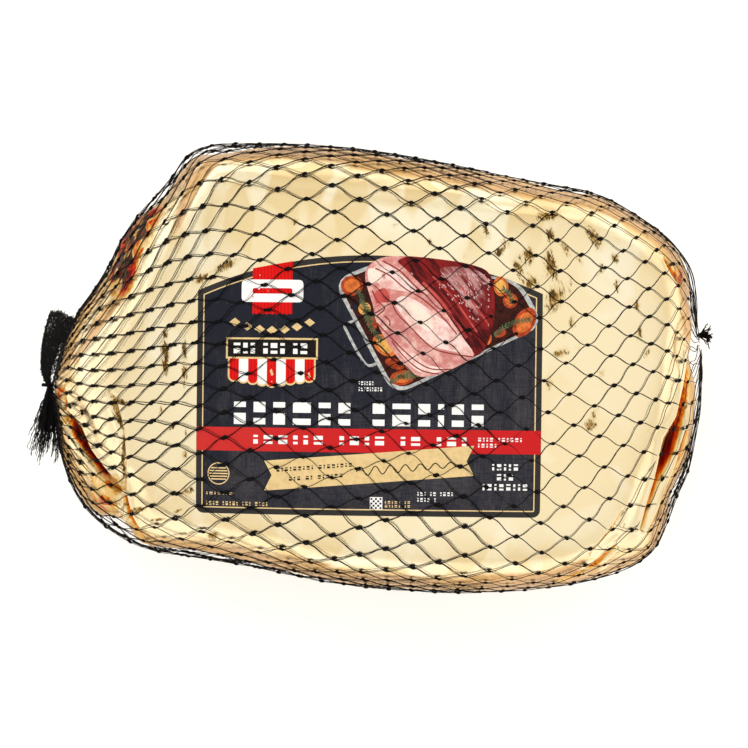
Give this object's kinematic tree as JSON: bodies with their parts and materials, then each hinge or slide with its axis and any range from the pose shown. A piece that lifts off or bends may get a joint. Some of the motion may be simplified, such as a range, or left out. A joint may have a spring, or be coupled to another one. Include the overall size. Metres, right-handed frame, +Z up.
{
  "type": "foil-wrapped ham in netting",
  "caption": "Half ham shut in bright gold foil, with an arched paper label on its upper face and a close net gathered and tied at the shank end.",
  "frame": {"origin": "middle of the whole pack's footprint, on the surface it lies on", "axes": "+X along the ham from the tied shank end to the cut end, +Y towards the label's arched top edge, +Z up out of the label"},
  "size_m": [0.291, 0.1894, 0.1309],
  "materials": {
    "gold_foil": "bright gold foil, crinkled",
    "label_paper": "matte printed paper",
    "black_net": "matte knotted thread"
  },
  "bodies": {
    "root": {"wrapped_ham": "gold_foil", "label": "label_paper", "net_gather": "black_net", "end_knot": "black_net"}
  },
  "joints": []
}
